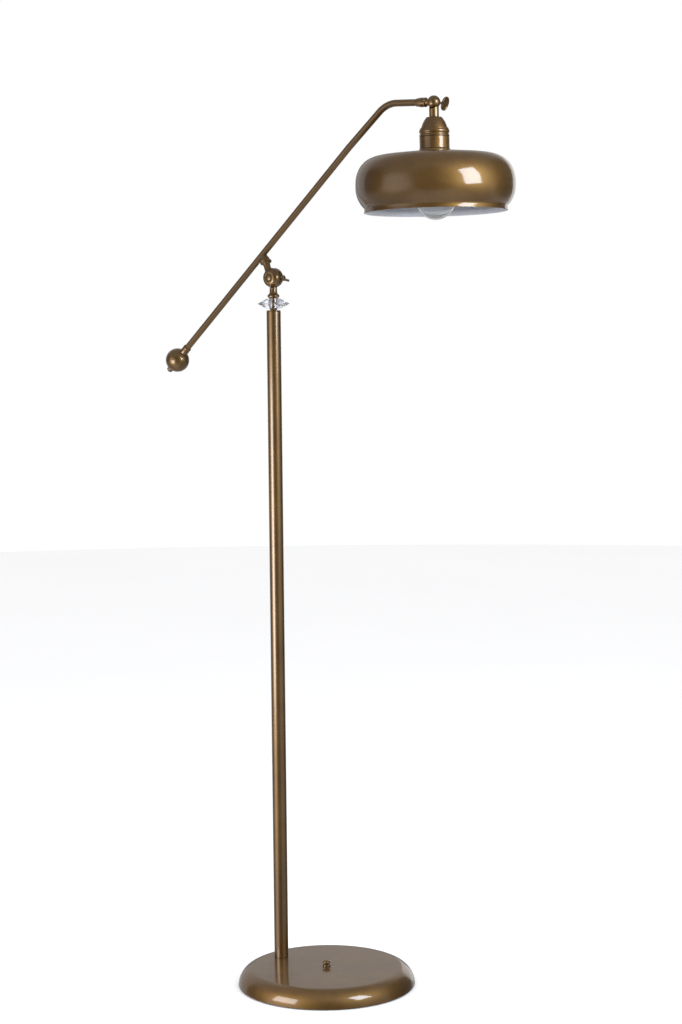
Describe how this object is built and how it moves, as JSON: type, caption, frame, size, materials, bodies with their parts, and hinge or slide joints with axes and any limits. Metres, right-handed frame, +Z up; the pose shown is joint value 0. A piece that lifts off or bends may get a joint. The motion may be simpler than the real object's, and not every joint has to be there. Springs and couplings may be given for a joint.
{
  "type": "adjustable arm floor lamp",
  "caption": "Antique-brass floor lamp: round weighted base, slim column, cut-glass disc, counterweighted tilting arm and spun shade over a clear bulb.",
  "frame": {"origin": "centre of the base's flat underside, on the floor", "axes": "+Z up, +X the way the arm reaches, the arm moves in the plane y = 0 at rest"},
  "size_m": [0.7268, 0.31, 1.5269],
  "materials": {
    "antique_brass": "antique bronze lacquer, satin",
    "shade_metal": "spun, antique bronze lacquer outside, white enamel inside",
    "steel": "zinc plated",
    "cast_iron": "as cast, black paint",
    "felt": "rubberised felt",
    "crystal": "cut and polished",
    "bulb_glass": "clear blown",
    "porcelain": "glazed",
    "fibre": "vulcanised fibre",
    "black_plastic": "moulded",
    "flex": "PVC sheath",
    "tungsten": "drawn wire"
  },
  "bodies": {
    "root": {"base_cover": "antique_brass", "base_weight": "cast_iron", "base_pad": "felt", "base_nipple": "steel", "base_washer": "steel", "base_nut": "steel", "cord_gland": "black_plastic", "foot_switch_body": "black_plastic", "foot_switch_ring": "antique_brass", "column_tube": "antique_brass", "column_foot_bush": "steel", "column_cap": "antique_brass", "crystal_disc": "crystal", "crystal_seat": "antique_brass", "crystal_washer": "black_plastic", "centre_nipple": "antique_brass", "base_flex": "flex", "column_flex": "flex"},
    "switch_button": {"foot_switch_button": "antique_brass"},
    "swivel": {"swivel_collar": "antique_brass", "knuckle_lower": "antique_brass", "knuckle_friction_washer": "fibre", "knuckle_screw": "antique_brass", "knuckle_spring_washer": "steel"},
    "wing_nut": {"knuckle_wing_nut": "antique_brass"},
    "arm": {"knuckle_upper": "antique_brass", "arm_stem": "antique_brass", "arm_tube": "antique_brass", "counterweight_ball": "antique_brass", "counterweight_collar": "antique_brass", "arm_end_plug": "steel", "counterweight_stud": "steel", "counterweight_nut": "antique_brass", "arm_ferrule": "antique_brass", "head_joint_arm_half": "antique_brass", "arm_flex": "flex"},
    "head": {"head_joint_shade_half": "antique_brass", "head_friction_washer": "fibre", "holder_cap": "antique_brass", "holder_band": "antique_brass", "holder_sleeve": "antique_brass", "shade_ring": "antique_brass", "holder_core": "porcelain", "holder_thread": "steel", "holder_contact": "steel", "shade_clamp_ring": "black_plastic", "holder_nipple": "steel", "holder_nut": "steel", "holder_flex": "flex", "shade": "shade_metal", "bulb_glass": "bulb_glass", "bulb_cap": "steel", "bulb_stem": "bulb_glass", "bulb_filament": "tungsten"},
    "thumb_screw": {"head_thumb_screw": "antique_brass"}
  },
  "joints": [
    {"name": "foot_switch_press", "type": "slide", "parent": "root", "child": "switch_button", "axis": [0, 0, 1], "range_m": [-0.003, 0], "stiffness_N_per_m": 600, "springref_m": 0.002},
    {"name": "column_swivel", "type": "hinge", "parent": "root", "child": "swivel", "pos_m": [-0.1024, 0, 1.2025], "axis": [0, 0, 1], "range_deg": [-165, 165]},
    {"name": "knuckle_tilt", "type": "hinge", "parent": "swivel", "child": "arm", "pos_m": [-0.1024, 0, 1.238], "axis": [0, -1, 0], "range_deg": [-42, 33]},
    {"name": "wing_nut_turn", "type": "hinge", "parent": "swivel", "child": "wing_nut", "pos_m": [-0.1024, 0, 1.238], "axis": [0, 1, 0], "range_deg": [0, 180]},
    {"name": "head_tilt", "type": "hinge", "parent": "arm", "child": "head", "pos_m": [0.24117, 0, 1.51529], "axis": [0, -1, 0], "range_deg": [-12, 60]},
    {"name": "thumb_screw_turn", "type": "hinge", "parent": "arm", "child": "thumb_screw", "pos_m": [0.24117, 0, 1.51529], "axis": [0, 1, 0], "range_deg": [0, 180]}
  ]
}
